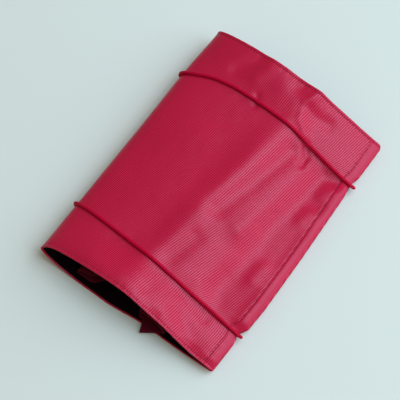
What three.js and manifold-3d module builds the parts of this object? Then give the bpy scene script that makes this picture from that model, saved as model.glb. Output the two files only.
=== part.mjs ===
// A folded cosmetic case of ribbed cloth, lying shut on its back panel.
// One cover sheet is folded over at the spine, lined, fitted with a soft pocket and held by two elastic cords.
// Millimetres, +Z up. +X runs from the fold to the open edge, +Y from the near end to the far end.
import * as THREE from "three";
import { LoftGeometry } from "three/addons/geometries/LoftGeometry.js";
import { mergeVertices } from "three/addons/utils/BufferGeometryUtils.js";
import Module from "manifold-3d";

const wasm = await Module();
wasm.setup();

// Size of the shut case
const CASE_LENGTH = 210; // along the fold
const CASE_WIDTH = 148; // from the fold to the open edge
const MOUTH_HEIGHT = 34; // crown of the flap above the table at the two open ends
const MIDDLE_HEIGHT = 29; // crown of the flap halfway along
const FOLD_HEIGHT = 15; // tip of the fold above the table
const EDGE_HEIGHT = 5; // free edge of the back panel above the table
const NEAR_LEAN = 3.5; // the near mouth leans back by this much at its crown

// Shape of the section, measured in from the fold or the open edge
const CROWN_FROM_FOLD = 66; // the flap is highest here
const BASE_FROM_FOLD = 36; // the back panel lies flat from here
const BASE_FROM_EDGE = 40; // to here
const FOLD_RADIUS = 4; // bend at the fold's tip

// Cloth
const COVER_THICKNESS = 1.2;
const LINING_THICKNESS = 0.5;
const LAYER_GAP = 0.3; // between one layer and the next
const HEM_WIDTH = 5; // the lining stops this far from the open edges
const END_HEM_WIDTH = 2.5; // and this far from the open ends
const EDGE_GAP = 1; // between the flap and the back panel at the open edge

// Elastic cords, each placed by its distance from the nearest open end, at the fold and at the open edge
const CORD_DIAMETER = 2.5;
const CORD_GAP = 0.3; // between a cord and the cloth
const CORD_SIDES = 8;
const CORD_JOIN_GAP = 0.4; // between the two ends, which are sewn under the back hem
const NEAR_CORD = { name: "elastic_cord_near", fromFoldEnd: 42, fromEdgeEnd: 33, bow: -1.5 };
const FAR_CORD = { name: "elastic_cord_far", fromFoldEnd: 40, fromEdgeEnd: 37, bow: 9 };
const CORD_PRESS = 3; // how far a cord pulls the crown down
const CORD_PINCH = 1.5; // how far it pulls the fold and the open edge in
const GRIP_REACH = 15; // the cloth is free of a cord this far to each side

// Soft pocket on the back panel's lining, open at the near end
const POCKET_FROM_FOLD = 28;
const POCKET_FROM_EDGE = 43;
const POCKET_WALL = 0.6;
const POCKET_SIDE = 4; // height of its rounded sides
const POCKET_HEADROOM = 6.5; // left between the pocket and the flap's lining under a cord
const POCKET_SET_IN = 2; // its mouth lies this far inside the near end on the fold side
const POCKET_TONGUE = 4.5; // and pokes this far out on the open edge's side
const POCKET_END_SPACE = 10; // its closed end stops this far from the far end

// Places that follow from the sizes
const FOLD_X = -CASE_WIDTH / 2;
const EDGE_X = CASE_WIDTH / 2;
const NEAR_Y = -CASE_LENGTH / 2;
const FAR_Y = CASE_LENGTH / 2;
const CORD_RADIUS = CORD_DIAMETER / 2;
const LINING_OUTSIDE = COVER_THICKNESS + LAYER_GAP;
const LINING_INSIDE = LINING_OUTSIDE + LINING_THICKNESS;
const CORD_LIFT = CORD_DIAMETER + CORD_GAP; // the back panel rides over each cord by this much

NEAR_CORD.foldY = NEAR_Y + NEAR_CORD.fromFoldEnd;
NEAR_CORD.edgeY = NEAR_Y + NEAR_CORD.fromEdgeEnd;
FAR_CORD.foldY = FAR_Y - FAR_CORD.fromFoldEnd;
FAR_CORD.edgeY = FAR_Y - FAR_CORD.fromEdgeEnd;

// A station is a line across the case, named by its y at the fold. Its other end slants with the cords.
function edgeYOf(station) {
  const foldStops = [NEAR_Y, NEAR_CORD.foldY, FAR_CORD.foldY, FAR_Y];
  const edgeStops = [NEAR_Y, NEAR_CORD.edgeY, FAR_CORD.edgeY, FAR_Y];
  const span = Math.max(1, foldStops.findIndex((stop) => station <= stop));
  return THREE.MathUtils.mapLinear(
    station, foldStops[span - 1], foldStops[span], edgeStops[span - 1], edgeStops[span]);
}

// How far a point is drawn back from the near end, by its height there.
function lean(height, station) {
  const nearness = THREE.MathUtils.smoothstep(-station, -NEAR_CORD.foldY, -NEAR_Y);
  return NEAR_LEAN * nearness * (height / MOUTH_HEIGHT) ** 2;
}

// A point of a section, put on its station in space.
function place(point, station) {
  const across = (point.x - FOLD_X) / CASE_WIDTH;
  const y = THREE.MathUtils.lerp(station, edgeYOf(station), across);
  return new THREE.Vector3(point.x, y + lean(point.y, station), point.y);
}

// 1 under a cord, 0 where the cloth is free of it.
function grip(station) {
  const away = Math.min(Math.abs(station - NEAR_CORD.foldY), Math.abs(station - FAR_CORD.foldY));
  return 1 - THREE.MathUtils.smoothstep(away, CORD_DIAMETER, GRIP_REACH);
}

function crownHeight(station) {
  const toNearMouth = THREE.MathUtils.smoothstep(-station, -NEAR_CORD.foldY, -NEAR_Y);
  const toFarMouth = THREE.MathUtils.smoothstep(station, FAR_CORD.foldY, FAR_Y);
  const flare = (MOUTH_HEIGHT - MIDDLE_HEIGHT) * (toNearMouth + toFarMouth);
  return MIDDLE_HEIGHT + flare - CORD_PRESS * grip(station);
}

const baseHeight = (station) => CORD_LIFT * grip(station);

// The cover's outer face across one station: back panel, fold, then flap, as five curves.
function sectionCurves(station) {
  const v = (x, z) => new THREE.Vector2(x, z);
  const pinch = CORD_PINCH * grip(station);
  const base = baseHeight(station);
  const crown = crownHeight(station);
  const edgeX = EDGE_X - pinch;
  const foldX = FOLD_X + pinch;
  const flapEdge = EDGE_HEIGHT + 2 * COVER_THICKNESS + EDGE_GAP;
  const baseRight = EDGE_X - BASE_FROM_EDGE;
  const baseLeft = FOLD_X + BASE_FROM_FOLD;
  const crownX = FOLD_X + CROWN_FROM_FOLD;
  const third = (from, to) => from + (to - from) / 3;
  const lowerReach = (baseLeft - foldX) / 2;
  const upperReach = (2 * (crownX - foldX)) / 3;
  const lowerHandle = Math.sqrt((2 / 3) * lowerReach * FOLD_RADIUS); // gives the curve its bend at the tip
  const upperHandle = Math.sqrt((2 / 3) * upperReach * FOLD_RADIUS);
  return [
    new THREE.CubicBezierCurve(
      v(edgeX, EDGE_HEIGHT), v(third(edgeX, baseRight), third(EDGE_HEIGHT, base)),
      v(third(baseRight, edgeX), base), v(baseRight, base)),
    new THREE.LineCurve(v(baseRight, base), v(baseLeft, base)),
    new THREE.CubicBezierCurve(
      v(baseLeft, base), v(foldX + lowerReach, base),
      v(foldX, FOLD_HEIGHT - lowerHandle), v(foldX, FOLD_HEIGHT)),
    new THREE.CubicBezierCurve(
      v(foldX, FOLD_HEIGHT), v(foldX, FOLD_HEIGHT + upperHandle),
      v(foldX + upperReach, crown), v(crownX, crown)),
    new THREE.CubicBezierCurve(
      v(crownX, crown), v(third(crownX, edgeX), crown),
      v(third(edgeX, crownX), third(flapEdge, crown)), v(edgeX, flapEdge)),
  ];
}

// How finely each of the five curves is drawn.
const SECTION_STEPS = [5, 3, 8, 9, 8];
const FLAP_START = SECTION_STEPS[0] + SECTION_STEPS[1] + SECTION_STEPS[2]; // index of the fold's tip

// Points across one station, offset inwards from the cover's outer face and trimmed at both free edges.
function sectionPoints(station, inset, trim = 0) {
  const curves = sectionCurves(station);
  const last = curves.length - 1;
  const points = [];
  curves.forEach((curve, k) => {
    const share = trim / curve.getLength();
    const from = k === 0 ? share : 0;
    const to = k === last ? 1 - share : 1;
    for (let i = k === 0 ? 0 : 1; i <= SECTION_STEPS[k]; i++) {
      const along = THREE.MathUtils.lerp(from, to, i / SECTION_STEPS[k]);
      const tangent = curve.getTangentAt(along);
      const inward = new THREE.Vector2(tangent.y, -tangent.x);
      points.push(curve.getPointAt(along).addScaledVector(inward, inset));
    }
  });
  return points;
}

// Stations along the case, closer together beside each cord. All layers share them, so their gap is even.
const STATION_STEP = 16;
const BESIDE_CORD = [-1, -0.5, 0.5, 1].map((share) => share * GRIP_REACH).concat(-CORD_DIAMETER, CORD_DIAMETER);
function stations(from, to) {
  const cordStops = [NEAR_CORD, FAR_CORD].flatMap((cord) => BESIDE_CORD.map((step) => cord.foldY + step));
  const endStops = [NEAR_Y, NEAR_Y + END_HEM_WIDTH, FAR_Y - END_HEM_WIDTH, FAR_Y];
  const stops = [...cordStops, ...endStops].sort((a, b) => a - b);
  const all = stops.slice(0, 1);
  for (const stop of stops.slice(1)) {
    const start = all.at(-1);
    const steps = Math.ceil((stop - start) / STATION_STEP);
    for (let i = 1; i <= steps; i++) all.push(THREE.MathUtils.lerp(start, stop, i / steps));
  }
  return [from, ...all.filter((station) => station > from && station < to), to];
}

// A closed solid through a row of rings.
function loft(rings) {
  return new THREE.BufferGeometry().copy(new LoftGeometry(rings, { capStart: true, capEnd: true }));
}

// A closed sheet that follows the cover between two depths.
function foldedSheet(outside, inside, trim, from, to) {
  const rings = stations(from, to).map((station) => {
    const outer = sectionPoints(station, outside, trim);
    const inner = sectionPoints(station, inside, trim).reverse();
    return [...outer, ...inner].map((point) => place(point, station));
  });
  return loft(rings);
}

// A cord lies on the cover all the way round. Its two ends meet under the back panel's hem.
function elasticCord(cord) {
  const clear = CORD_RADIUS + CORD_GAP;
  const count = SECTION_STEPS.reduce((sum, steps) => sum + steps, 0);
  const path = [];
  for (let i = 0; i <= count; i++) {
    const overFlap = Math.max(0, i - FLAP_START) / (count - FLAP_START);
    const station = cord.foldY + cord.bow * Math.sin(Math.PI * overFlap);
    path.push(place(sectionPoints(station, -clear)[i], station));
  }
  const flapEdge = path[count];
  const backEdge = path[0];
  const centre = flapEdge.clone().add(backEdge).multiplyScalar(0.5);
  const spoke = flapEdge.clone().sub(centre);
  const outward = new THREE.Vector3(1, 0, 0).addScaledVector(spoke, -spoke.x / spoke.lengthSq());
  outward.setLength(spoke.length());
  const wrapSteps = 8;
  const wrapTurn = Math.PI - CORD_JOIN_GAP / spoke.length();
  for (let i = 1; i <= wrapSteps; i++) {
    const turn = (wrapTurn * i) / wrapSteps;
    const arm = spoke.clone().multiplyScalar(Math.cos(turn)).addScaledVector(outward, Math.sin(turn));
    path.push(centre.clone().add(arm));
  }
  return loft(path.map((_, i) => cordRing(path, i)));
}

// The ring of a cord at one point of its path, square to the path.
function cordRing(path, i) {
  const before = path[Math.max(0, i - 1)];
  const after = path[Math.min(path.length - 1, i + 1)];
  const along = after.clone().sub(before).normalize();
  const side = new THREE.Vector3(0, 1, 0).addScaledVector(along, -along.y).normalize();
  const up = new THREE.Vector3().crossVectors(along, side);
  return Array.from({ length: CORD_SIDES }, (_, k) => {
    const angle = (2 * Math.PI * k) / CORD_SIDES;
    return path[i].clone()
      .addScaledVector(side, CORD_RADIUS * Math.cos(angle))
      .addScaledVector(up, CORD_RADIUS * Math.sin(angle));
  });
}

// Outline of the pocket at one station: flat below, rounded sides, arched above.
function pocketOutline(station, inset) {
  const left = FOLD_X + POCKET_FROM_FOLD + inset;
  const right = EDGE_X - POCKET_FROM_EDGE - inset;
  const middle = (left + right) / 2;
  const bottom = baseHeight(station) + LINING_INSIDE + LAYER_GAP + inset;
  const top = MIDDLE_HEIGHT - CORD_PRESS - LINING_INSIDE - POCKET_HEADROOM - inset;
  const side = bottom + POCKET_SIDE - inset;
  const bend = POCKET_SIDE - inset;
  const shoulder = THREE.MathUtils.lerp(side, top, 0.8);
  const outline = new THREE.Path();
  outline.moveTo(right - bend, bottom);
  outline.lineTo(left + bend, bottom);
  outline.quadraticCurveTo(left, bottom, left, side);
  outline.bezierCurveTo(left, shoulder, THREE.MathUtils.lerp(left, middle, 0.35), top, middle, top);
  outline.bezierCurveTo(THREE.MathUtils.lerp(right, middle, 0.35), top, right, shoulder, right, side);
  outline.quadraticCurveTo(right, bottom, right - bend, bottom);
  return outline.getPoints(6).slice(0, -1);
}

// The pocket's mouth reaches out at one lower corner, beside the open edge.
function pocketMouthRing(inset, reach) {
  const mouth = NEAR_Y + POCKET_SET_IN;
  const left = FOLD_X + POCKET_FROM_FOLD;
  const width = CASE_WIDTH - POCKET_FROM_FOLD - POCKET_FROM_EDGE;
  return pocketOutline(mouth, inset).map((point) => {
    const across = (point.x - left) / width;
    const low = 1 - Math.min(1, point.y / FOLD_HEIGHT);
    const tongue = (POCKET_SET_IN + POCKET_TONGUE) * across * low;
    return new THREE.Vector3(point.x, mouth + lean(point.y, mouth) - tongue - reach, point.y);
  });
}

function pocketLoft(inset, mouthReach, closedEnd) {
  const rings = stations(NEAR_Y + GRIP_REACH, closedEnd).map((station) =>
    pocketOutline(station, inset).map((point) => place(point, station)));
  if (mouthReach > 0) rings.unshift(pocketMouthRing(inset, 0));
  rings.unshift(pocketMouthRing(inset, mouthReach));
  return loft(rings);
}

function toSolid(geometry) {
  geometry.deleteAttribute("normal");
  geometry.deleteAttribute("uv");
  const merged = mergeVertices(geometry);
  return new wasm.Manifold(new wasm.Mesh({
    numProp: 3,
    vertProperties: merged.getAttribute("position").array,
    triVerts: new Uint32Array(merged.index.array),
  }));
}

function fromSolid(solid) {
  const mesh = solid.getMesh();
  const geometry = new THREE.BufferGeometry();
  geometry.setAttribute("position", new THREE.BufferAttribute(mesh.vertProperties, mesh.numProp));
  geometry.setIndex(new THREE.BufferAttribute(mesh.triVerts, 1));
  geometry.computeVertexNormals();
  return geometry;
}

function softPocket() {
  const closedEnd = FAR_Y - POCKET_END_SPACE;
  const mouthCut = 2 * POCKET_WALL;
  const outside = toSolid(pocketLoft(0, 0, closedEnd));
  const inside = toSolid(pocketLoft(POCKET_WALL, mouthCut, closedEnd - POCKET_WALL));
  return fromSolid(outside.subtract(inside));
}

const ribbedCloth = new THREE.MeshStandardMaterial({ color: 0xb3213f, roughness: 0.6, metalness: 0 });
const liningCloth = new THREE.MeshStandardMaterial({ color: 0x1d0a0e, roughness: 0.8, metalness: 0 });
const pocketCloth = new THREE.MeshStandardMaterial({ color: 0x8a1833, roughness: 0.7, metalness: 0 });
const cordSheath = new THREE.MeshStandardMaterial({ color: 0xb0082f, roughness: 0.5, metalness: 0 });

function named(name, geometry, material) {
  const mesh = new THREE.Mesh(geometry, material);
  mesh.name = name;
  return mesh;
}

const sewn = new THREE.Group();
sewn.add(
  named("outer_cover", foldedSheet(0, COVER_THICKNESS, 0, NEAR_Y, FAR_Y), ribbedCloth),
  named("lining", foldedSheet(LINING_OUTSIDE, LINING_INSIDE, HEM_WIDTH,
    NEAR_Y + END_HEM_WIDTH, FAR_Y - END_HEM_WIDTH), liningCloth),
  named("inner_pocket", softPocket(), pocketCloth),
  named(NEAR_CORD.name, elasticCord(NEAR_CORD), cordSheath),
  named(FAR_CORD.name, elasticCord(FAR_CORD), cordSheath),
);

// The origin is on the table, under the middle of the whole case.
const box = new THREE.Box3().setFromObject(sewn);
sewn.position.set(-(box.min.x + box.max.x) / 2, -(box.min.y + box.max.y) / 2, -box.min.z);

const part = new THREE.Group();
part.add(sewn);

export default part;
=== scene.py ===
import math

import bpy
import numpy as np
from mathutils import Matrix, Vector, noise


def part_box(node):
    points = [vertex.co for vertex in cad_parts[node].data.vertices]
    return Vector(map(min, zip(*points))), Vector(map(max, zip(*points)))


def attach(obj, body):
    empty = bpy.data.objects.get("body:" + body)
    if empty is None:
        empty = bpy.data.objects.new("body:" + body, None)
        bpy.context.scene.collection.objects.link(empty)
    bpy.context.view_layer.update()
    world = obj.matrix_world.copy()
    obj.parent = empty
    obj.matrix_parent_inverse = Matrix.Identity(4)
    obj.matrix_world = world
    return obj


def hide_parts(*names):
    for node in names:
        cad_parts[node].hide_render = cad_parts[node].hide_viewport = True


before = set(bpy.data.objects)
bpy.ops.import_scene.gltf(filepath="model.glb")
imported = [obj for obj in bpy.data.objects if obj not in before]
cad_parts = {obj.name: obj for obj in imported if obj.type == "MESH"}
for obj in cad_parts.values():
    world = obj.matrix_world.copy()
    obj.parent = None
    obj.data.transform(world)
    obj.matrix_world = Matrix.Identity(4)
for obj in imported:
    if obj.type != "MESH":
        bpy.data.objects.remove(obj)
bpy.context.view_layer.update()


# Cover: one sheet of finely ribbed cloth, folded over at the spine, with the back panel on the table and
# the flap above it. The edges are turned in and sewn down all round, and two cords pull the shut case in.
MM = 0.001
cover_low, cover_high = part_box("outer_cover")
FOLD_X, EDGE_X = cover_low.x, cover_high.x
NEAR_Y, FAR_Y = cover_low.y, cover_high.y
CASE_WIDTH = EDGE_X - FOLD_X
NEAR_CORD_FOLD_Y = NEAR_Y + 42 * MM
NEAR_CORD_EDGE_Y = NEAR_Y + 33 * MM
FAR_CORD_FOLD_Y = FAR_Y - 40 * MM
FAR_CORD_EDGE_Y = FAR_Y - 37 * MM
CORD_DIAMETER = 2.5 * MM
CORD_GAP = 0.1 * MM
COVER_THICKNESS = 1.1 * MM

# Heights and insets of the section at five places: near end, near cord, middle, far cord, far end.
CROWN_HEIGHT = [34.0 * MM, 26.0 * MM, 28.5 * MM, 27.0 * MM, 33.0 * MM]
CROWN_FROM_FOLD = [66 * MM, 68 * MM, 74 * MM, 70 * MM, 66 * MM]
FOLD_HEIGHT = [15.5 * MM, 14.5 * MM, 15.0 * MM, 15.0 * MM, 16.0 * MM]
FOLD_BULGE = [0.9 * MM, 1.3 * MM, 1.4 * MM, 2.2 * MM, 0.8 * MM]
BACK_EDGE_HEIGHT = 5 * MM
EDGE_STACK = 3.4 * MM  # outside of the back panel to outside of the flap, where their free edges meet
BASE_FROM_FOLD = 36 * MM
BASE_FROM_EDGE = 40 * MM
FOLD_RADIUS = 4 * MM
GRIP_FLAT = 2.5 * MM  # the back panel is lifted over a cord this far to each side
GRIP_REACH = 15 * MM  # and lies flat again from here
NEAR_LEAN = 3.5 * MM  # the near mouth leans back by this much at its crown
NEAR_SLIP = 2.9 * MM  # the back panel shows this much past the flap at the near fold
NEAR_SLIP_REACH = 60 * MM
SLIP_FADES_ACROSS = (-20 * MM, 15 * MM)  # the slip dies out between these two x
SLIP_FADES_UP = (14 * MM, 26 * MM)  # and between these two heights
CURVE_STEPS = 400


def ease(low, high, value):
    """0 below low, 1 above high, and smooth between them."""
    share = np.clip((value - low) / (high - low), 0, 1)
    return share * share * (3 - 2 * share)


def along(stops, station):
    """A size that changes smoothly along the case, from its values at the five places."""
    places = [NEAR_Y, NEAR_CORD_FOLD_Y, (NEAR_Y + FAR_Y) / 2, FAR_CORD_FOLD_Y, FAR_Y]
    value = stops[0]
    for k in range(1, len(stops)):
        value = value + (stops[k] - stops[k - 1]) * ease(places[k - 1], places[k], station)
    return value


def edge_station(station):
    """The y at the open edge of a line across the case that leaves the fold at this y."""
    at_fold = [NEAR_Y, NEAR_CORD_FOLD_Y, FAR_CORD_FOLD_Y, FAR_Y]
    at_edge = [NEAR_Y, NEAR_CORD_EDGE_Y, FAR_CORD_EDGE_Y, FAR_Y]
    return np.interp(station, at_fold, at_edge)


def edge_bulge(station):
    """How far the open edge stands out: drawn in by each cord, and swelling just past the near one."""
    near, far, middle = NEAR_CORD_EDGE_Y, FAR_CORD_EDGE_Y, (NEAR_Y + FAR_Y) / 2
    places = [NEAR_Y, near - 8 * MM, near, near + 7 * MM, near + 26 * MM, middle, far - 12 * MM, far,
              far + 7 * MM, FAR_Y]
    sizes = [0.8, 1.1, -0.8, 3.2, 3.8, 2.5, -0.2, -1.8, 0, -0.4]
    return MM * np.interp(station, places, sizes)


def grip(station):
    """1 under a cord, 0 where the cloth is free of it."""
    away = min(abs(station - NEAR_CORD_FOLD_Y), abs(station - FAR_CORD_FOLD_Y))
    return 1 - ease(GRIP_FLAT, GRIP_REACH, away)


def bezier(corners, count):
    """Points of a cubic curve, spaced evenly along it, without its last point."""
    fine = np.linspace(0, 1, CURVE_STEPS)[:, None]
    a, b, c, d = (np.array(corner) for corner in corners)
    rest = 1 - fine
    curve = rest ** 3 * a + 3 * rest ** 2 * fine * b + 3 * rest * fine ** 2 * c + fine ** 3 * d
    run = np.concatenate([[0], np.cumsum(np.linalg.norm(np.diff(curve, axis=0), axis=1))])
    wanted = np.linspace(0, run[-1], count, endpoint=False)
    return np.stack([np.interp(wanted, run, curve[:, axis]) for axis in (0, 1)], axis=1)


# Columns across the sheet in its five stretches: back edge, base, lower fold, upper fold, open side.
STRETCH_COLUMNS = [32, 18, 30, 56, 96]
FOLD_COLUMN = sum(STRETCH_COLUMNS[:3])


def section(station):
    """x and z of the cover's outside across one station, from the back panel's edge to the flap's."""
    crown = along(CROWN_HEIGHT, station)
    crown_x = FOLD_X + along(CROWN_FROM_FOLD, station)
    fold_z = along(FOLD_HEIGHT, station)
    fold_x = FOLD_X - along(FOLD_BULGE, station)
    edge_x = EDGE_X + edge_bulge(edge_station(station))
    base_z = (CORD_DIAMETER + CORD_GAP) * grip(station)
    base_left = FOLD_X + BASE_FROM_FOLD
    base_right = EDGE_X - BASE_FROM_EDGE
    flap_edge = BACK_EDGE_HEIGHT + EDGE_STACK
    lower_reach = (base_left - fold_x) / 2
    upper_reach = (crown_x - fold_x) * 2 / 3
    lower_handle = math.sqrt(lower_reach * FOLD_RADIUS * 2 / 3)
    upper_handle = math.sqrt(upper_reach * FOLD_RADIUS * 2 / 3)
    third = (edge_x - crown_x) / 3
    base_third = (edge_x - base_right) / 3
    curves = [
        [(edge_x, BACK_EDGE_HEIGHT), (edge_x - base_third, base_z + (BACK_EDGE_HEIGHT - base_z) * 2 / 3),
         (base_right + base_third, base_z), (base_right, base_z)],
        [(base_right, base_z), (base_right, base_z), (base_left, base_z), (base_left, base_z)],
        [(base_left, base_z), (fold_x + lower_reach, base_z),
         (fold_x, fold_z - lower_handle), (fold_x, fold_z)],
        [(fold_x, fold_z), (fold_x, fold_z + upper_handle),
         (fold_x + upper_reach, crown), (crown_x, crown)],
        [(crown_x, crown), (crown_x + third, crown), (edge_x - third, flap_edge + (crown - flap_edge) / 3),
         (edge_x, flap_edge)],
    ]
    stretches = [bezier(curve, count) for curve, count in zip(curves, STRETCH_COLUMNS)]
    return np.concatenate(stretches + [np.array([[edge_x, flap_edge]])])


# Soft folds of the flap, in millimetres: the line each one follows in plan, its height, which is below 0
# for a hollow, and its half width.
FLAP_FOLDS = [
    ([(11, 64), (4, 10), (-1, -18), (-3, -44), (-11, -78)], 2.1, 12),
    ([(24, 58), (17, 20), (9, -10)], -2.3, 7.5),
    ([(43, 60), (37, 10), (30, -12)], 1.6, 7.5),
    ([(8, -36), (3, -58)], -0.9, 6),
    ([(20, -34), (14, -62)], 0.7, 6.5),
    ([(51, 54), (48, 20), (47, -20), (46, -58)], -3.4, 11.5),
    ([(71, 58), (72, 20), (72, -20), (71, -60)], 2.3, 7),
    ([(62, 54), (61, 48)], 1.2, 6),
    ([(61, 30), (60, 24)], 1.3, 6),
    ([(59, -24), (58, -33)], 1.3, 6.5),
    ([(42, 12), (41, 2)], -0.9, 6),
    ([(41, -44), (40, -54)], -0.9, 6),
    ([(16, 107), (13, 80)], 1.7, 9),
    ([(18, 107), (12, 93), (16, 81), (28, 73)], 0.9, 3),
    ([(15, 90), (24, 90), (34, 92)], -1.6, 5.5),
    ([(29, 71), (35, 63), (36, 56)], -1.4, 3),
    ([(38, 66), (51, 62), (62, 62)], -1.1, 5),
    ([(-20, 78), (-16, 71)], -0.8, 2.2),
    ([(26, -74), (37, -75), (48, -78)], -1.1, 4.5),
    ([(-3, 107), (2, 103)], -1.9, 8.5),
    ([(-44, 86), (-34, 100)], -1.2, 6),
    ([(-28, 88), (-24, 102)], 0.9, 6),
    ([(6, -90), (20, -99)], -1.3, 7),
    ([(36, -88), (54, -100)], -2.2, 9),
]


def line_distance(x, y, line):
    """Distance in plan from each point to a line of several stretches."""
    nearest = np.full(x.shape, np.inf)
    for (x0, y0), (x1, y1) in zip(line, line[1:]):
        dx, dy = (x1 - x0) * MM, (y1 - y0) * MM
        share = np.clip(((x - x0 * MM) * dx + (y - y0 * MM) * dy) / (dx * dx + dy * dy), 0, 1)
        nearest = np.minimum(nearest, np.hypot(x - x0 * MM - share * dx, y - y0 * MM - share * dy))
    return nearest


def spaced(stops, sizes):
    """Numbers from the first stop to the last, with a step size for each stretch between stops."""
    stretches = [np.linspace(low, high, max(1, round((high - low) / size)), endpoint=False)
                 for low, high, size in zip(stops, stops[1:], sizes)]
    return np.concatenate(stretches + [[stops[-1]]])


END_BAND = 7 * MM
END_STEP = 0.6 * MM
MIDDLE_STEP = 1.3 * MM
stations = spaced([NEAR_Y, NEAR_Y + END_BAND, FAR_Y - END_BAND, FAR_Y], [END_STEP, MIDDLE_STEP, END_STEP])
sections = np.array([section(station) for station in stations])
sheet_x, sheet_z = sections[:, :, 0], sections[:, :, 1]
across_share = (sheet_x - FOLD_X) / CASE_WIDTH
edge_stations = np.array([edge_station(station) for station in stations])
sheet_y = stations[:, None] * (1 - across_share) + edge_stations[:, None] * across_share

# Flat distance of each column from the fold, below 0 on the back panel, measured halfway along the case.
middle_row = len(stations) // 2
middle_section = sections[middle_row]
column_steps = np.linalg.norm(np.diff(middle_section, axis=0), axis=1)
columns = np.concatenate([[0], np.cumsum(column_steps)])
columns = columns - columns[FOLD_COLUMN]
BACK_FLAT, FLAP_FLAT = -columns[0], columns[-1]

flat_across = columns[None, :] + 0 * sheet_x
flat_along = sheet_y.copy()
# The pull of the near cord twists the strip beyond it, so the ribs turn a little there.
NEAR_TWIST = 0.11
past_near_cord = np.minimum(stations - NEAR_CORD_FOLD_Y, 0)
flat_across = flat_across + NEAR_TWIST * past_near_cord[:, None]

# The near mouth leans back with its height, its lower part slips out past the flap, and the flap takes
# its soft folds.
FLAP_BEGINS = (4 * MM, 22 * MM)  # flat distance from the fold over which the soft folds set in
near_lean = NEAR_LEAN * (1 - ease(NEAR_Y, NEAR_CORD_FOLD_Y, stations))
near_slip = NEAR_SLIP * (1 - ease(NEAR_Y, NEAR_Y + NEAR_SLIP_REACH, stations))
sheet_y = sheet_y + near_lean[:, None] * (sheet_z / CROWN_HEIGHT[0]) ** 2
sheet_y = sheet_y - (near_slip[:, None] * (1 - ease(*SLIP_FADES_ACROSS, sheet_x))
                     * (1 - ease(*SLIP_FADES_UP, sheet_z)))
on_flap = ease(*FLAP_BEGINS, columns)[None, :]
for line, height, half_width in FLAP_FOLDS:
    distance = line_distance(sheet_x, sheet_y, line)
    sheet_z = sheet_z + on_flap * height * MM * np.exp(-(distance / (half_width * MM)) ** 2)

SOFT_WAVE = 0.5 * MM
SOFT_WAVE_SIZE = 34 * MM
CRUMPLE = 0.12 * MM
CRUMPLE_SIZE = 9 * MM
NOISE_LEVEL = 3.7  # the level at which the noise is cut


def wave(x, y, size):
    """Smooth noise between about -1 and 1 over the plan."""
    return np.array([[noise.noise(Vector((a / size, b / size, NOISE_LEVEL))) for a, b in zip(row_x, row_y)]
                     for row_x, row_y in zip(x, y)])


sheet_z = sheet_z + on_flap * (SOFT_WAVE * wave(sheet_x, sheet_y, SOFT_WAVE_SIZE)
                               + CRUMPLE * wave(sheet_x, sheet_y, CRUMPLE_SIZE))
cover_points = np.stack([sheet_x, sheet_y, sheet_z], axis=2)


def grid_normals(points):
    """Unit normals of a grid of points, on its outer side."""
    normal = np.cross(np.gradient(points, axis=1), np.gradient(points, axis=0))
    return normal / np.linalg.norm(normal, axis=2, keepdims=True)


# The turned-in hems stand a little proud, and the thread pulls a groove and small puckers along each
# stitch line.
EDGE_HEM = 7.5 * MM
END_HEM = 2.2 * MM
HEM_RISE = 0.3 * MM
STITCH_GROOVE = 0.3 * MM
GROOVE_WIDTH = 0.6 * MM
PUCKER = 0.07 * MM
PUCKER_REACH = 3.5 * MM
PUCKER_LENGTH = 6.5 * MM
PUCKER_DRIFT = 17 * MM  # the puckers come closer and further apart over this length
PUCKER_UNEVEN = 2.5
EDGE_ROLL = 0.6 * MM  # the flap's free edge rolls down by this much
ROLL_WIDTH = 3 * MM
NEAR_ROLL = 1.1 * MM  # and the flap's near end curls down by this much
NEAR_ROLL_WIDTH = 10 * MM
from_edge = np.minimum(columns - columns[0], columns[-1] - columns)[None, :] + 0 * sheet_x
from_end = np.minimum(stations - NEAR_Y, FAR_Y - stations)[:, None] + 0 * sheet_x
hem_relief = np.zeros(sheet_x.shape)
for away, hem, run in ((from_edge, EDGE_HEM, sheet_y),
                       (from_end, END_HEM, columns[None, :] + 0 * sheet_x)):
    hem_relief += HEM_RISE * (1 - ease(hem - GROOVE_WIDTH, hem, away))
    hem_relief -= STITCH_GROOVE * np.exp(-((away - hem) / GROOVE_WIDTH) ** 2)
    beat = np.sin(2 * np.pi * run / PUCKER_LENGTH + PUCKER_UNEVEN * np.sin(run / PUCKER_DRIFT))
    hem_relief += PUCKER * beat * np.exp(-((away - hem) / PUCKER_REACH) ** 2)
hem_relief -= EDGE_ROLL * (1 - ease(0, ROLL_WIDTH, columns[-1] - columns))[None, :]
hem_relief -= NEAR_ROLL * (1 - ease(0, NEAR_ROLL_WIDTH, stations - NEAR_Y))[:, None] * on_flap
cover_points = cover_points + grid_normals(cover_points) * hem_relief[:, :, None]
cover_normals = grid_normals(cover_points)


def on_cover(across, station, lift=0.0):
    """A point on or over the cover and the way out there, by its flat distance from the fold and station."""
    column = np.interp(across, columns, np.arange(len(columns)))
    row = np.interp(station, stations, np.arange(len(stations)))
    c, r = min(int(column), len(columns) - 2), min(int(row), len(stations) - 2)
    u, v = column - c, row - r

    def mixed(grid):
        near = grid[r, c] * (1 - u) + grid[r, c + 1] * u
        far = grid[r + 1, c] * (1 - u) + grid[r + 1, c + 1] * u
        return near * (1 - v) + far * v

    normal = mixed(cover_normals)
    return Vector(mixed(cover_points) + lift * normal / np.linalg.norm(normal)), Vector(normal).normalized()


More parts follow.
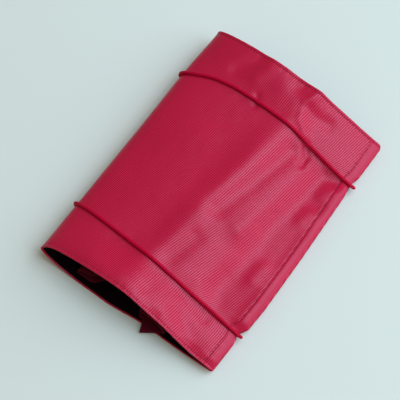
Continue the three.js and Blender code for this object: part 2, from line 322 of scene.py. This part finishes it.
# The four corners of the sheet are turned with a small round.
CORNER_ROUND = 2.5 * MM
rounded_points = cover_points.copy()
for r, c in np.argwhere((from_edge < CORNER_ROUND) & (from_end < CORNER_ROUND)):
    p, q = 1 - from_edge[r, c] / CORNER_ROUND, 1 - from_end[r, c] / CORNER_ROUND
    across_in = CORNER_ROUND * p * (1 - math.sqrt(1 - q * q / 2))
    along_in = CORNER_ROUND * q * (1 - math.sqrt(1 - p * p / 2))
    rounded_points[r, c] = on_cover(columns[c] - math.copysign(across_in, columns[c]),
                                    stations[r] - math.copysign(along_in, stations[r]))[0]
cover_points = rounded_points


def grid_piece(name, points, flat_u, flat_v, ring=False, caps=False):
    """A mesh of quads over a grid of points, with each point's flat place in metres as its UV map.

    A ring closes on its first column, and caps close the first and last row of a ring.
    """
    rows, cols = points.shape[:2]
    mesh = bpy.data.meshes.new(name)
    spans = cols if ring else cols - 1
    faces = [(r * cols + c, r * cols + (c + 1) % cols, (r + 1) * cols + (c + 1) % cols, (r + 1) * cols + c)
             for r in range(rows - 1) for c in range(spans)]
    if caps:
        faces += [tuple(reversed(range(cols))), tuple((rows - 1) * cols + c for c in range(cols))]
    mesh.from_pydata(points.reshape(-1, 3).tolist(), [], faces)
    uv = mesh.uv_layers.new(name="flat")
    for polygon in mesh.polygons:
        corners = [(mesh.loops[i].vertex_index, i) for i in polygon.loop_indices]
        wraps = ring and {0, cols - 1} <= {v % cols for v, _ in corners}
        for v, i in corners:
            c = cols if wraps and v % cols == 0 else v % cols
            uv.data[i].uv = (flat_u[v // cols, c], flat_v[v // cols, v % cols])
    mesh.polygons.foreach_set("use_smooth", [True] * len(mesh.polygons))
    piece = bpy.data.objects.new(name, mesh)
    bpy.context.scene.collection.objects.link(piece)
    return piece


def thicken(piece, thickness):
    """Cloth thickness, grown inwards from the outer face."""
    solid = piece.modifiers.new("thickness", "SOLIDIFY")
    solid.thickness = thickness
    solid.offset = -1


class Paint:
    """One output of a shader node. Sums and products of outputs add their Math nodes."""

    def __init__(self, tree, output=None):
        self.tree = tree
        self.output = output

    def node(self, kind, settings=None, inputs=None, output=0):
        made = self.tree.nodes.new(kind)
        for name, value in (settings or {}).items():
            setattr(made, name, value)
        for name, value in (inputs or {}).items():
            if isinstance(value, Paint):
                self.tree.links.new(value.output, made.inputs[name])
            else:
                made.inputs[name].default_value = value
        return Paint(self.tree, made.outputs[output])

    def math(self, operation, *values):
        return self.node("ShaderNodeMath", {"operation": operation}, dict(enumerate(values)))

    def __add__(self, other):
        return self.math("ADD", self, other)

    __radd__ = __add__

    def __sub__(self, other):
        return self.math("SUBTRACT", self, other)

    def __rsub__(self, other):
        return self.math("SUBTRACT", other, self)

    def __mul__(self, other):
        return self.math("MULTIPLY", self, other)

    __rmul__ = __mul__

    def sine(self):
        return self.math("SINE", self)

    def clamp(self):
        return self.node("ShaderNodeClamp", inputs={0: self})

    def parts(self, vector):
        """The first two numbers of a vector."""
        split = self.node("ShaderNodeSeparateXYZ", inputs={0: vector}).output.node
        return Paint(self.tree, split.outputs[0]), Paint(self.tree, split.outputs[1])

    def mix(self, first, second):
        """Colour first where this is 0, second where it is 1."""
        return self.node("ShaderNodeMix", {"data_type": "RGBA", "clamp_factor": True},
                         {0: self, 6: first, 7: second}, output=2)


def finish(name, **constants):
    """A new material: its node tree to paint in, and its Principled shader with constant sockets set."""
    material = bpy.data.materials.new(name)
    material.use_nodes = True
    shader = material.node_tree.nodes["Principled BSDF"]
    for socket, value in constants.items():
        shader.inputs[socket.replace("_", " ")].default_value = value
    return material, Paint(material.node_tree), shader


def feed(paint, shader, socket):
    """Let an output set one socket of a shader."""
    paint.tree.links.new(paint.output, shader.inputs[socket])


RIB_PITCH = 1.5 * MM
RIB_SKEW = -0.19  # the ribs cross the long edge at a slight slant
THREAD_PITCH = 0.55 * MM
WEAVE_RELIEF = 0.065 * MM
PRESS_EDGE = 0.8 * MM  # the ribs flatten over this width where the flap's hem begins
BLOTCH_SCALE = 22.0
FUZZ_SCALE = 1500.0
STREAK_SCALE = (520, 60, 1)  # the ribs are uneven in short streaks along them
CRIMSON = (0.82, 0.011, 0.060, 1)
# The darker crimson is both painted shade in the rib valleys and the dark end of the cloth's uneven tone.
CRIMSON_DEEP_AND_SHADE = (0.26, 0.001, 0.010, 1)
SHEEN_PINK = (1, 0.6, 0.7, 1)


def ribbed_cloth():
    """Crimson cloth with fine glossy ribs, pressed flat on the hem, fine cross threads and a sheen. Its
    colour is darkened along the rib valleys as painted shade.
    """
    material, paint, shader = finish("ribbed_cloth", Sheen_Weight=0.05, Sheen_Roughness=0.4,
                                     Sheen_Tint=SHEEN_PINK, Specular_IOR_Level=0.12, Coat_Roughness=0.35)
    uv = paint.node("ShaderNodeUVMap", {"uv_map": "flat"})
    u, v = paint.parts(uv)
    rib = ((u + v * RIB_SKEW) * (2 * math.pi / RIB_PITCH)).sine()
    thread = (v * (2 * math.pi / THREAD_PITCH)).sine()
    blotch = uv.node("ShaderNodeTexNoise", inputs={"Vector": uv, "Scale": BLOTCH_SCALE, "Detail": 3.0})
    fuzz = uv.node("ShaderNodeTexNoise", inputs={"Vector": uv, "Scale": FUZZ_SCALE, "Detail": 2.0})
    pressed = ((u - (FLAP_FLAT - EDGE_HEM)) * (1 / PRESS_EDGE)).clamp()
    streaks = uv.node("ShaderNodeMapping", inputs={"Vector": uv, "Scale": STREAK_SCALE})
    uneven = uv.node("ShaderNodeTexNoise", inputs={"Vector": streaks, "Scale": 1.0, "Detail": 2.0})
    rib = rib * (uneven * 1.5 + 0.1) * (1 - pressed * 0.75)
    # Painted shade: the rib term darkens the colour in the valleys between the ribs. The blotch and fuzz
    # terms are the cloth's own uneven tone.
    rib_shade_and_tone = rib * 0.34 + blotch * 0.2 + fuzz * 0.2 + 0.3
    feed(rib_shade_and_tone.mix(CRIMSON_DEEP_AND_SHADE, CRIMSON), shader, "Base Color")
    feed(blotch * 0.08 - rib * 0.08 + 0.31, shader, "Roughness")
    feed((rib * 0.31 + 0.29).clamp(), shader, "Coat Weight")
    height = rib * 0.5 + thread * 0.1 + fuzz * 0.3
    bump = paint.node("ShaderNodeBump",
                      inputs={"Height": height, "Strength": 1.0, "Distance": WEAVE_RELIEF})
    feed(bump, shader, "Normal")
    return material


cover = grid_piece("cover", cover_points, flat_across, flat_along)
thicken(cover, COVER_THICKNESS)
cover.data.materials.append(ribbed_cloth())
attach(cover, "root")
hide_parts("outer_cover")


# Lining: a thin dark sheet of plain weave sewn to the cover's inside, set back behind the hems.
# It lies close against the cover all the way round the fold.
LINING_GAP = 0.25 * MM
LINING_THICKNESS = 0.4 * MM
LINING_SET_BACK = 1.6 * MM
WINE_BLACK = (0.004, 0.0006, 0.0008, 1)
WINE_DARK = (0.010, 0.0012, 0.002, 1)
WEAVE_SCALE = 420.0
UNEVEN_SCALE = 60.0
THIN_RELIEF = 0.1 * MM
lining_rows = [r for r in range(len(stations)) if LINING_SET_BACK < from_end[r, 0]][::2]
lining_columns = [c for c in range(len(columns)) if LINING_SET_BACK < from_edge[0, c]][::2]
inset = COVER_THICKNESS + LINING_GAP
lining_patch = np.ix_(lining_rows, lining_columns)
lining_points = (cover_points - inset * cover_normals)[lining_patch]


def plain_weave(name, light, dark, roughness):
    """Thin plain-woven cloth: two crossing sets of threads and a slight unevenness."""
    material, paint, shader = finish(name, Specular_IOR_Level=0.06)
    uv = paint.node("ShaderNodeUVMap", {"uv_map": "flat"})
    weft = uv.node("ShaderNodeTexWave", {"bands_direction": "X"}, {"Vector": uv, "Scale": WEAVE_SCALE})
    warp = uv.node("ShaderNodeTexWave", {"bands_direction": "Y"}, {"Vector": uv, "Scale": WEAVE_SCALE})
    blotch = uv.node("ShaderNodeTexNoise", inputs={"Vector": uv, "Scale": UNEVEN_SCALE, "Detail": 3.0})
    feed((weft * warp * 0.5 + blotch * 0.5).mix(dark, light), shader, "Base Color")
    feed(blotch * 0.12 + roughness, shader, "Roughness")
    height = weft + warp
    bump = paint.node("ShaderNodeBump",
                      inputs={"Height": height, "Strength": 0.3, "Distance": THIN_RELIEF})
    feed(bump, shader, "Normal")
    return material


lining = grid_piece("lining_sheet", lining_points, flat_across[lining_patch], flat_along[lining_patch])
thicken(lining, LINING_THICKNESS)
lining.data.materials.append(plain_weave("lining_cloth", WINE_DARK, WINE_BLACK, roughness=0.75))
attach(lining, "root")
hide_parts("lining")


# Inner pocket: a soft sleeve of thin cloth, sewn to the back panel's lining and pressed nearly
# flat at its far end. Its mouth hangs back inside the near end, and one lower corner of it pokes out.
# Its cloth is the cover's crimson, drawn as dark wine red: painted shade for the inside of the case.
pocket_low, pocket_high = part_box("inner_pocket")
POCKET_THICKNESS = 0.5 * MM
POCKET_SIDE = 2.4 * MM  # its sides are widest at this height
SIDE_POWER, ARCH_POWER, FLOOR_POWER = 0.6, 0.8, 0.35  # the lower, the squarer the section
POCKET_MOUTH_IN = 2 * MM
POCKET_MOUTH_REACH = 22 * MM  # the shape of the mouth dies out this far from the near end
POCKET_CLOSING = 30 * MM  # towards the far end the sleeve flattens over this length
CLOSED_BY = 0.8  # share of its height that it loses there
GRIPPED_BY = 0.25  # and over a cord
TONGUE_X = [12.4 * MM, 14.3 * MM, 28 * MM]  # the corner that pokes out: its left, its tip and its right
TONGUE_REACH = 9.6 * MM
TONGUE_HEIGHT = 9 * MM
MOUTH_RECESS = 13 * MM  # left of that corner the mouth hangs back inside
RECESS_BEGINS = (-36 * MM, -20 * MM)
RECESS_ENDS = (0, 9 * MM)
# Painted shade: the pocket's crimson cloth is drawn dark wine red, and darker still in its weave, for the
# inside of the case.
POCKET_CRIMSON_SHADED = (0.15, 0.004, 0.016, 1)
WINE_SHADE = (0.08, 0.002, 0.008, 1)
POCKET_RING = 96
POCKET_ROWS = 70
GIRTH_ROW = 10  # the girth is measured here, clear of the mouth


def pocket_outline(height):
    """The sleeve's section, flat below, round at the sides and arched above."""
    left, right = pocket_low.x, pocket_high.x
    middle, bottom, top = (left + right) / 2, pocket_low.z, pocket_low.z + height
    angle = np.linspace(0, 2 * np.pi, POCKET_RING, endpoint=False)
    half = (right - left) / 2
    across, up = np.cos(angle), np.sin(angle)
    x = middle + half * np.sign(across) * np.abs(across) ** SIDE_POWER
    arch = np.where(up > 0, np.abs(up) ** ARCH_POWER, -np.abs(up) ** FLOOR_POWER)
    side = bottom + POCKET_SIDE
    z = np.where(arch > 0, side + (top - side) * arch, side + (side - bottom) * arch)
    return x, z


pocket_stations = np.linspace(NEAR_Y + POCKET_MOUTH_IN, pocket_high.y, POCKET_ROWS)
pocket_rings = []
for station in pocket_stations:
    x, z = pocket_outline(pocket_high.z - pocket_low.z)
    base_z = (CORD_DIAMETER + CORD_GAP) * grip(station)
    closing = ease(pocket_high.y - POCKET_CLOSING, pocket_high.y, station)
    squeeze = 1 - CLOSED_BY * closing - GRIPPED_BY * grip(station)
    z = pocket_low.z + base_z + (z - pocket_low.z) * squeeze
    near = 1 - ease(NEAR_Y + POCKET_MOUTH_IN, NEAR_Y + POCKET_MOUTH_REACH, station)
    low = np.clip(1 - (z - pocket_low.z) / TONGUE_HEIGHT, 0, 1)
    tongue = np.interp(x, TONGUE_X, [0, TONGUE_REACH, 0]) * low * near
    recess = MOUTH_RECESS * ease(*RECESS_BEGINS, x) * (1 - ease(*RECESS_ENDS, x)) * near
    lean = NEAR_LEAN * near * (z / CROWN_HEIGHT[0]) ** 2 + recess
    pocket_rings.append(np.stack([x, station + lean - tongue, z], axis=1))
pocket_points = np.array(pocket_rings)
girth = pocket_points[GIRTH_ROW]
ring_steps = np.linalg.norm(np.diff(girth, axis=0, append=girth[:1]), axis=1)
pocket_around = np.concatenate([[0], np.cumsum(ring_steps)])
pocket = grid_piece("pocket", pocket_points[:, ::-1], pocket_around + 0 * pocket_stations[:, None],
                    pocket_stations[:, None] + 0 * pocket_around, ring=True)
thicken(pocket, POCKET_THICKNESS)
pocket.data.materials.append(plain_weave("pocket_cloth", POCKET_CRIMSON_SHADED, WINE_SHADE, roughness=0.6))
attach(pocket, "root")
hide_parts("inner_pocket")


# Elastic cords: round rubber cores in a braided crimson sheath, stretched round the shut case.
# Both ends are sewn in under the back panel's hem, and the taut cord bridges the hollows of the flap.
CORD_RADIUS = CORD_DIAMETER / 2
CORD_SIDES = 14
CORD_STEP = 1.2 * MM
WRAP_TURN = 0.98 * math.pi  # round the open edge, up to the small gap between the two sewn ends
WRAP_POINTS = 14
TAUT_FROM = 8 * MM  # past the fold by this much, the cord is stretched straight over hollows
DRIFT_BEGINS = 30 * MM  # below the case, the cord leaves its straight line this far from the fold
STRANDS = 6
BRAID_PITCH = 1.8 * MM
BRAID_RELIEF = 0.15 * MM
# How far each cord lies off its straight line in millimetres, from the fold (0) to the open edge (1).
NEAR_CORD_DRIFT = ([0, 1], [-2.0, -1.8])
FAR_CORD_DRIFT = ([0, 0.06, 0.18, 0.3, 0.45, 0.65, 0.85, 1], [-4.5, -2, 4.2, 6.4, 6.2, 4.0, 0, -2.4])
DRIFT_EVEN = 9  # places averaged, so that the cord bends smoothly
CORD_RED = (0.62, 0.0006, 0.032, 1)
CORD_RED_DEEP = (0.40, 0.0003, 0.015, 1)


def taut(points):
    """A stretched line over a row of points: their upper hull in the plane they run in."""
    hull = []
    for point in points:
        while len(hull) > 1:
            a, b = hull[-2], hull[-1]
            if (b.x - a.x) * (point.z - a.z) - (b.z - a.z) * (point.x - a.x) < 0:
                break
            hull.pop()
        hull.append(point)
    hull_x = [point.x for point in hull]
    hull_z = [point.z for point in hull]
    return [Vector((p.x, p.y, np.interp(p.x, hull_x, hull_z))) for p in points]


def cord_route(station, drift):
    """Centreline from the back hem under the case, round the fold, over the flap and round the edge."""
    clear = CORD_RADIUS + CORD_GAP
    below = []
    for across in np.arange(-BACK_FLAT + CORD_STEP, 0, CORD_STEP):
        offset = drift[1][0] * MM * ease(-DRIFT_BEGINS, 0, across)
        below.append(on_cover(across, station + offset, clear)[0])
    over_flap = np.arange(0, FLAP_FLAT, CORD_STEP)
    offsets = np.pad(np.interp(over_flap / FLAP_FLAT, *drift), DRIFT_EVEN // 2, mode="edge") * MM
    offsets = np.convolve(offsets, np.ones(DRIFT_EVEN) / DRIFT_EVEN, mode="valid")
    over = [on_cover(across, station + offset, clear)[0] for across, offset in zip(over_flap, offsets)]
    turn = next(i for i, point in enumerate(over) if point.x > FOLD_X + TAUT_FROM)
    over = over[:turn] + taut(over[turn:])
    top, bottom = over[-1], below[0]
    centre = (top + bottom) / 2
    spoke = top - centre
    outward = Vector((spoke.length, 0, 0))
    angles = np.linspace(0, WRAP_TURN, WRAP_POINTS)[1:]
    wrap = [centre + spoke * math.cos(a) + outward * math.sin(a) for a in angles]
    return below + over + wrap


def tube(name, path, radius):
    """A round tube along a path, with the distance round it and along it as its UV map."""
    rings, run = [], [0.0]
    for i, point in enumerate(path):
        ahead, behind = path[min(i + 1, len(path) - 1)], path[max(i - 1, 0)]
        tangent = (ahead - behind).normalized()
        side = (Vector((0, 1, 0)) - tangent * tangent.y).normalized()
        up = tangent.cross(side)
        angles = [2 * math.pi * k / CORD_SIDES for k in range(CORD_SIDES)]
        rings.append([point + radius * (side * math.cos(a) + up * math.sin(a)) for a in angles])
        if i:
            run.append(run[-1] + (point - behind).length)
    around = np.linspace(0, 2 * math.pi * radius, CORD_SIDES + 1)
    run_column = np.array(run)[:, None]
    piece = grid_piece(name, np.array(rings), around + 0 * run_column, run_column + 0 * around, ring=True,
                       caps=True)
    return piece, run[-1]


def braided_sheath():
    """Crimson braid: two sets of strands winding opposite ways round the cord."""
    material, paint, shader = finish("cord_sheath", Specular_IOR_Level=0.08)
    uv = paint.node("ShaderNodeUVMap", {"uv_map": "flat"})
    u, v = paint.parts(uv)
    around = u * (STRANDS / CORD_RADIUS)
    lengthwise = v * (2 * math.pi / BRAID_PITCH)
    forward = (around + lengthwise).sine()
    backward = (around - lengthwise).sine()
    strand = forward * 0.5 + backward * 0.5
    feed((strand * 0.5 + 0.5).mix(CORD_RED_DEEP, CORD_RED), shader, "Base Color")
    feed(0.42 - strand * 0.08, shader, "Roughness")
    bump = paint.node("ShaderNodeBump",
                      inputs={"Height": strand, "Strength": 0.5, "Distance": BRAID_RELIEF})
    feed(bump, shader, "Normal")
    return material


sheath = braided_sheath()
for side, station, drift in (("near", NEAR_CORD_FOLD_Y, NEAR_CORD_DRIFT),
                             ("far", FAR_CORD_FOLD_Y, FAR_CORD_DRIFT)):
    route = cord_route(station, drift)
    cord, cord_length = tube(f"cord_{side}", route, CORD_RADIUS)
    cord.data.materials.append(sheath)
    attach(cord, "root")
    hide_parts(f"elastic_cord_{side}")


# Topstitching: crimson thread in short even stitches, sunk in the cloth along the hems. The thread is
# drawn far darker than the cloth: painted shade for its needle holes and the shadows along it.
# The line runs 7.5 mm in from the open edges and close to the two ends, and is rounded at each corner.
STITCH_PITCH = 2.9 * MM
STITCH_LENGTH = 2.0 * MM
STITCH_LIFT = 0.02 * MM
STITCH_TURN = 4 * MM
SPOT_STEP = 1.0 * MM
THREAD_WIDTH = 0.65 * MM
# Painted shade: the thread is drawn much darker than the crimson cloth it matches, for the needle holes and
# the thread's shadows.
THREAD_RED_SHADED = (0.28, 0.003, 0.016, 1)
THREAD_RED_DEEP_SHADED = (0.16, 0.001, 0.008, 1)
TWIST_SCALE = 2500.0


def stitch_tree():
    """Geometry nodes that lay one stitch after another along a line that knows which way is up."""
    tree = bpy.data.node_groups.new("stitch_row", "GeometryNodeTree")
    tree.interface.new_socket("Line", in_out="INPUT", socket_type="NodeSocketGeometry")
    for name in ("Pitch", "Stitch Length", "Thread Width"):
        tree.interface.new_socket(name, in_out="INPUT", socket_type="NodeSocketFloat")
    tree.interface.new_socket("Thread", in_out="INPUT", socket_type="NodeSocketMaterial")
    tree.interface.new_socket("Stitches", in_out="OUTPUT", socket_type="NodeSocketGeometry")
    new, link = tree.nodes.new, tree.links.new
    given, result = new("NodeGroupInput"), new("NodeGroupOutput")
    curve, even = new("GeometryNodeMeshToCurve"), new("GeometryNodeResampleCurve")
    even.mode = "LENGTH"
    bead, shape = new("GeometryNodeMeshUVSphere"), new("GeometryNodeTransform")
    size = new("ShaderNodeCombineXYZ")
    bead.inputs["Segments"].default_value = 8
    bead.inputs["Rings"].default_value = 6
    bead.inputs["Radius"].default_value = 0.5
    tangent, up = new("GeometryNodeInputTangent"), new("GeometryNodeInputNamedAttribute")
    up.data_type = "FLOAT_VECTOR"
    up.inputs["Name"].default_value = "up"
    lengthwise = new("FunctionNodeAlignRotationToVector")
    upright = new("FunctionNodeAlignRotationToVector")
    lengthwise.axis = "X"
    upright.axis, upright.pivot_axis = "Z", "X"
    place, whole = new("GeometryNodeInstanceOnPoints"), new("GeometryNodeRealizeInstances")
    dye = new("GeometryNodeSetMaterial")
    link(given.outputs["Line"], curve.inputs[0])
    link(curve.outputs[0], even.inputs["Curve"])
    link(given.outputs["Pitch"], even.inputs["Length"])
    link(given.outputs["Stitch Length"], size.inputs[0])
    link(given.outputs["Thread Width"], size.inputs[1])
    link(given.outputs["Thread Width"], size.inputs[2])
    link(bead.outputs["Mesh"], shape.inputs["Geometry"])
    link(size.outputs[0], shape.inputs["Scale"])
    link(tangent.outputs[0], lengthwise.inputs["Vector"])
    link(lengthwise.outputs[0], upright.inputs["Rotation"])
    link(up.outputs[0], upright.inputs["Vector"])
    link(even.outputs[0], place.inputs["Points"])
    link(shape.outputs[0], place.inputs["Instance"])
    link(upright.outputs[0], place.inputs["Rotation"])
    link(place.outputs[0], whole.inputs[0])
    link(whole.outputs[0], dye.inputs["Geometry"])
    link(given.outputs["Thread"], dye.inputs["Material"])
    link(dye.outputs[0], result.inputs[0])
    return tree


STITCHES = stitch_tree()


def stitch_row(name, spots, thread):
    """A row of stitches along surface spots, each a point and the way up there, as a plain mesh."""
    mesh = bpy.data.meshes.new(name)
    mesh.from_pydata([point for point, _ in spots], [(i, i + 1) for i in range(len(spots) - 1)], [])
    ups = mesh.attributes.new("up", "FLOAT_VECTOR", "POINT")
    ups.data.foreach_set("vector", [number for _, up in spots for number in up])
    row = bpy.data.objects.new(name, mesh)
    bpy.context.scene.collection.objects.link(row)
    modifier = row.modifiers.new("stitches", "NODES")
    modifier.node_group = STITCHES
    sockets = {item.name: item.identifier
               for item in STITCHES.interface.items_tree if item.in_out == "INPUT"}
    for socket, value in (("Pitch", STITCH_PITCH), ("Stitch Length", STITCH_LENGTH),
                          ("Thread Width", THREAD_WIDTH), ("Thread", thread)):
        modifier[sockets[socket]] = value
    evaluated = row.evaluated_get(bpy.context.evaluated_depsgraph_get())
    row.data = bpy.data.meshes.new_from_object(evaluated)
    row.modifiers.remove(modifier)
    row.data.polygons.foreach_set("use_smooth", [True] * len(row.data.polygons))
    return row


def rounded_frame(low_u, high_u, low_v, high_v, radius, step):
    """A closed rectangle with rounded corners, in flat distances, as evenly spaced places."""
    corners = [(high_u - radius, high_v - radius, 0), (low_u + radius, high_v - radius, 90),
               (low_u + radius, low_v + radius, 180), (high_u - radius, low_v + radius, 270)]
    outline = []
    for u, v, start in corners:
        for turn in range(0, 91, 15):
            angle = math.radians(start + turn)
            outline.append((u + radius * math.cos(angle), v + radius * math.sin(angle)))
    outline.append(outline[0])
    places = []
    for (u0, v0), (u1, v1) in zip(outline, outline[1:]):
        count = max(1, round(math.hypot(u1 - u0, v1 - v0) / step))
        places += [(u0 + (u1 - u0) * i / count, v0 + (v1 - v0) * i / count) for i in range(count)]
    return places + [places[0]]


def sewing_thread():
    """Twisted crimson thread, a little glossier than the cloth, drawn much darker as painted shade for its
    needle holes and shadows.
    """
    material, paint, shader = finish("sewing_thread", Roughness=0.45)
    place = paint.node("ShaderNodeTexCoord", output="Object")
    twist = paint.node("ShaderNodeTexNoise", inputs={"Vector": place, "Scale": TWIST_SCALE})
    feed(twist.mix(THREAD_RED_DEEP_SHADED, THREAD_RED_SHADED), shader, "Base Color")
    return material


stitch_line = rounded_frame(-BACK_FLAT + EDGE_HEM, FLAP_FLAT - EDGE_HEM, NEAR_Y + END_HEM, FAR_Y - END_HEM,
                            STITCH_TURN, SPOT_STEP)
stitch_spots = [on_cover(u, v, STITCH_LIFT) for u, v in stitch_line]
topstitch = stitch_row("topstitching", stitch_spots, sewing_thread())
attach(topstitch, "root")


# Table: a plain pale surface with a cool tint, matt and without a pattern.
# It isn't part of the object, and only carries it.
TABLE_REACH = 4.0
TABLE_Z = -0.5 * MM  # just under the lowest stitches and cord
TABLE_TINT = (0.755, 0.795, 0.59, 1)
table_corners = [(x * TABLE_REACH, y * TABLE_REACH, TABLE_Z)
                 for x, y in ((-1, -1), (1, -1), (1, 1), (-1, 1))]
table_mesh = bpy.data.meshes.new("table")
table_mesh.from_pydata(table_corners, [], [(0, 1, 2, 3)])
table = bpy.data.objects.new("table", table_mesh)
bpy.context.scene.collection.objects.link(table)
table_finish = finish("table_finish", Base_Color=TABLE_TINT, Roughness=0.9)[0]
table_mesh.materials.append(table_finish)


# Camera and light: the view looks steeply down over the near right corner.
# A wide soft window with cool daylight stands at the right, and a smaller light hangs high above it.
VIEW_AZIMUTH = math.radians(36.75)
VIEW_ELEVATION = math.radians(69.43)
VIEW_DISTANCE = 1.2
VIEW_TARGET = Vector((-8.06, -7.41, 12)) * MM
VIEW_LENS = 150.06
SENSOR_WIDTH = 36
LAMP_DISTANCE = 2.5
DAYLIGHT = (0.80, 0.95, 1.4)
ROOM_TINT = (1.0, 0.98, 0.95, 1)
ROOM_STRENGTH = 0.26


def towards(azimuth, elevation):
    """Unit vector that points out to a place around the object."""
    return Vector((math.sin(azimuth) * math.cos(elevation), -math.cos(azimuth) * math.cos(elevation),
                   math.sin(elevation)))


camera_data = bpy.data.cameras.new("camera")
camera_data.lens = VIEW_LENS
camera_data.sensor_width = SENSOR_WIDTH
camera = bpy.data.objects.new("camera", camera_data)
camera.location = VIEW_TARGET + VIEW_DISTANCE * towards(VIEW_AZIMUTH, VIEW_ELEVATION)
camera.rotation_euler = towards(VIEW_AZIMUTH, VIEW_ELEVATION).to_track_quat("Z", "Y").to_euler()
bpy.context.scene.collection.objects.link(camera)
bpy.context.scene.camera = camera


def soft_lamp(name, right_of_view, elevation, size, power):
    """A square soft light that faces the object, turned from the view by an angle in degrees."""
    direction = towards(VIEW_AZIMUTH + math.radians(right_of_view), math.radians(elevation))
    light = bpy.data.lights.new(name, "AREA")
    light.shape = "SQUARE"
    light.size = size
    light.energy = power
    light.color = DAYLIGHT
    lamp = bpy.data.objects.new(name, light)
    lamp.location = LAMP_DISTANCE * direction
    lamp.rotation_euler = direction.to_track_quat("Z", "Y").to_euler()
    bpy.context.scene.collection.objects.link(lamp)


soft_lamp("window", right_of_view=91, elevation=31, size=3.3, power=68)
soft_lamp("ceiling_light", right_of_view=94, elevation=69, size=1.6, power=27)
world = bpy.data.worlds.new("room")
bpy.context.scene.world = world
world.use_nodes = True
world.node_tree.nodes["Background"].inputs["Color"].default_value = ROOM_TINT
world.node_tree.nodes["Background"].inputs["Strength"].default_value = ROOM_STRENGTH
bpy.context.scene.view_settings.view_transform = "Standard"
